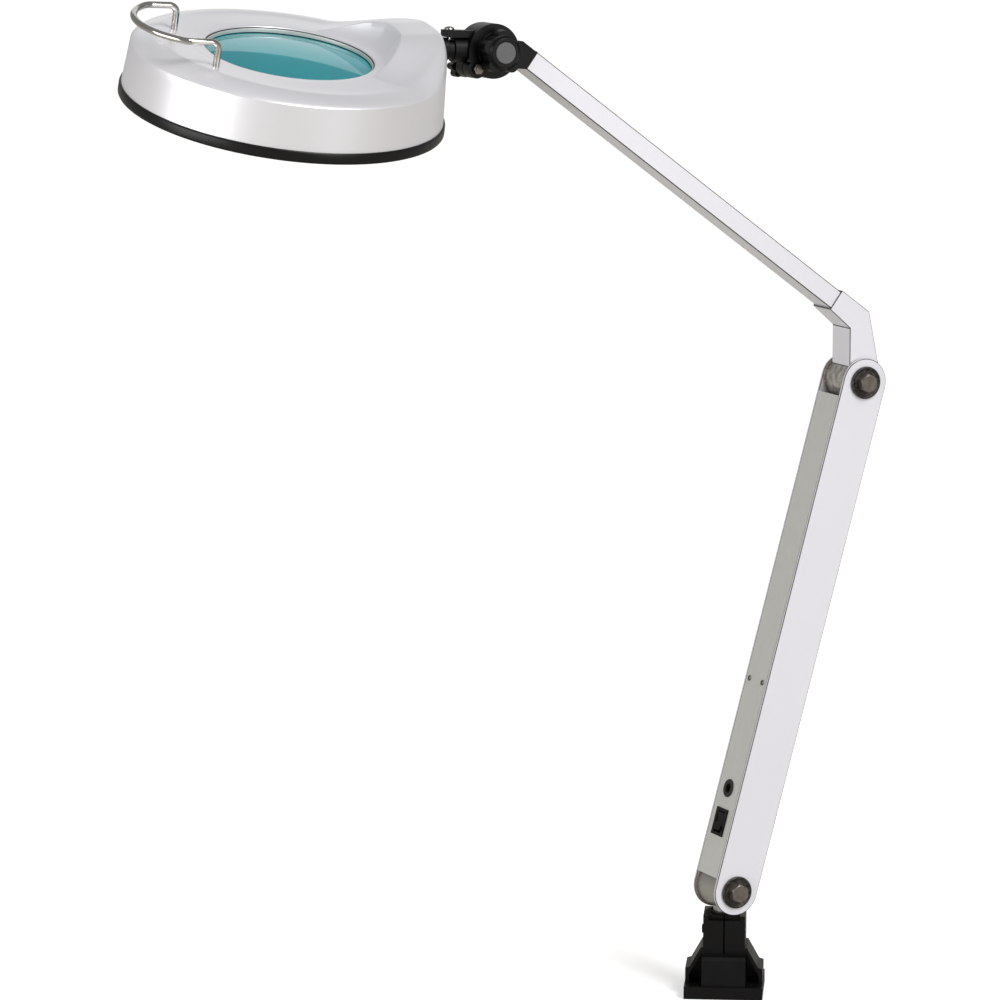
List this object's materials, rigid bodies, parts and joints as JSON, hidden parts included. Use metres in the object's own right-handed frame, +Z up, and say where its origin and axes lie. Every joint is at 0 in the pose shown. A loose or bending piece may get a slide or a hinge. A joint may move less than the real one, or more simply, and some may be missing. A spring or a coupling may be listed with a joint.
{
  "type": "magnifying lamp",
  "caption": "Ring-light magnifier on a two-part friction arm with a swivel post and screw-down base; head tilts and rolls.",
  "frame": {"origin": "centre of the base's underside, on the post's axis", "axes": "+Z up along the post, +X to the right and +Y away along the base plate's edges; the arm's plane is swung 30 degrees from +X towards +Y"},
  "size_m": [0.5493, 0.3666, 0.7657],
  "materials": {
    "black_plastic": "moulded black nylon, fine grain",
    "arm_paint": "satin silver-white lacquer",
    "satin_metal": "satin grey metal",
    "bronze_steel": "dark bronze-brown oxide",
    "friction_fibre": "pressed fibre",
    "bright_chrome": "bright plated",
    "housing_paint": "pearl silver-white lacquer",
    "rim_plastic": "satin black",
    "lens_glass": "polished, faint blue-green",
    "gasket_rubber": "matt",
    "white_enamel": "white gloss enamel",
    "white_plastic": "white moulded",
    "lamp_glass": "white phosphor-coated glass",
    "cap_plastic": "grey moulded",
    "steel_can": "plain steel"
  },
  "bodies": {
    "root": {"base_bracket": "black_plastic", "post_bush": "black_plastic", "base_clamp_screw": "black_plastic", "base_clamp_nut": "bright_chrome"},
    "post": {"pivot_post": "satin_metal"},
    "lower_arm": {"arm_channel": "arm_paint", "arm_cover": "satin_metal", "cover_screws": "bright_chrome", "switch_body": "black_plastic", "cable_gland": "gasket_rubber", "ballast": "steel_can", "starter": "steel_can", "starter_socket": "white_plastic", "base_pivot_bolt": "bronze_steel", "base_pivot_nut": "bronze_steel", "base_cup_washers": "bronze_steel", "base_friction_discs": "friction_fibre", "elbow_pivot_bolt": "bronze_steel", "elbow_pivot_nut": "bronze_steel", "elbow_cup_washers": "bronze_steel", "elbow_friction_discs": "friction_fibre"},
    "rocker": {"switch_rocker": "black_plastic"},
    "upper_arm": {"elbow_bracket": "arm_paint", "arm_tube": "arm_paint", "arm_end": "black_plastic", "tilt_bolt": "bright_chrome", "tilt_washer": "bright_chrome"},
    "tilt_knob": {"tilt_knob": "black_plastic", "knob_cap": "cap_plastic"},
    "head_clamp": {"clamp_body": "black_plastic", "stop_screw": "bright_chrome", "roll_bolt": "bright_chrome", "roll_nut": "bright_chrome"},
    "roll_knob": {"roll_knob": "black_plastic"},
    "head": {"neck_stub": "black_plastic", "neck_nut": "bright_chrome", "head_housing": "housing_paint", "head_rim": "rim_plastic", "rim_screws": "bright_chrome", "lens": "lens_glass", "lens_bezel": "satin_metal", "lens_gasket": "gasket_rubber", "lens_retainer": "white_plastic", "retainer_screws": "bright_chrome", "reflector": "white_enamel", "lamp_tube": "lamp_glass", "lamp_cap": "white_plastic", "lamp_connector": "white_plastic", "lamp_clips": "bright_chrome", "head_handle": "bright_chrome", "handle_nuts": "bright_chrome"}
  },
  "joints": [
    {"name": "post_swivel", "type": "hinge", "parent": "root", "child": "post", "pos_m": [0, 0, 0.081], "axis": [0, 0, 1], "continuous": true},
    {"name": "base_pivot", "type": "hinge", "parent": "post", "child": "lower_arm", "pos_m": [0, 0, 0.081], "axis": [-0.5, 0.866, 0], "range_deg": [-85, 55]},
    {"name": "elbow_pivot", "type": "hinge", "parent": "lower_arm", "child": "upper_arm", "pos_m": [0.09257, 0.05345, 0.46645], "axis": [-0.5, 0.866, 0], "range_deg": [-60, 60]},
    {"name": "head_tilt", "type": "hinge", "parent": "upper_arm", "child": "head_clamp", "pos_m": [-0.17319, -0.09999, 0.72588], "axis": [-0.5, 0.866, 0], "range_deg": [-60, 60]},
    {"name": "head_roll", "type": "hinge", "parent": "head_clamp", "child": "head", "pos_m": [-0.17319, -0.09999, 0.72588], "axis": [0.865, 0.4994, -0.0488], "range_deg": [-90, 75]},
    {"name": "tilt_knob_turn", "type": "hinge", "parent": "upper_arm", "child": "tilt_knob", "pos_m": [-0.17319, -0.09999, 0.72588], "axis": [-0.5, 0.866, 0], "range_deg": [-180, 0]},
    {"name": "roll_knob_turn", "type": "hinge", "parent": "head_clamp", "child": "roll_knob", "pos_m": [-0.18499, -0.1068, 0.71353], "axis": [-0.5, 0.866, 0], "range_deg": [0, 180]},
    {"name": "rocker_press", "type": "hinge", "parent": "lower_arm", "child": "rocker", "pos_m": [-0.00296, -0.00171, 0.13228], "axis": [-0.5, 0.866, 0], "range_deg": [-18, 0]}
  ]
}
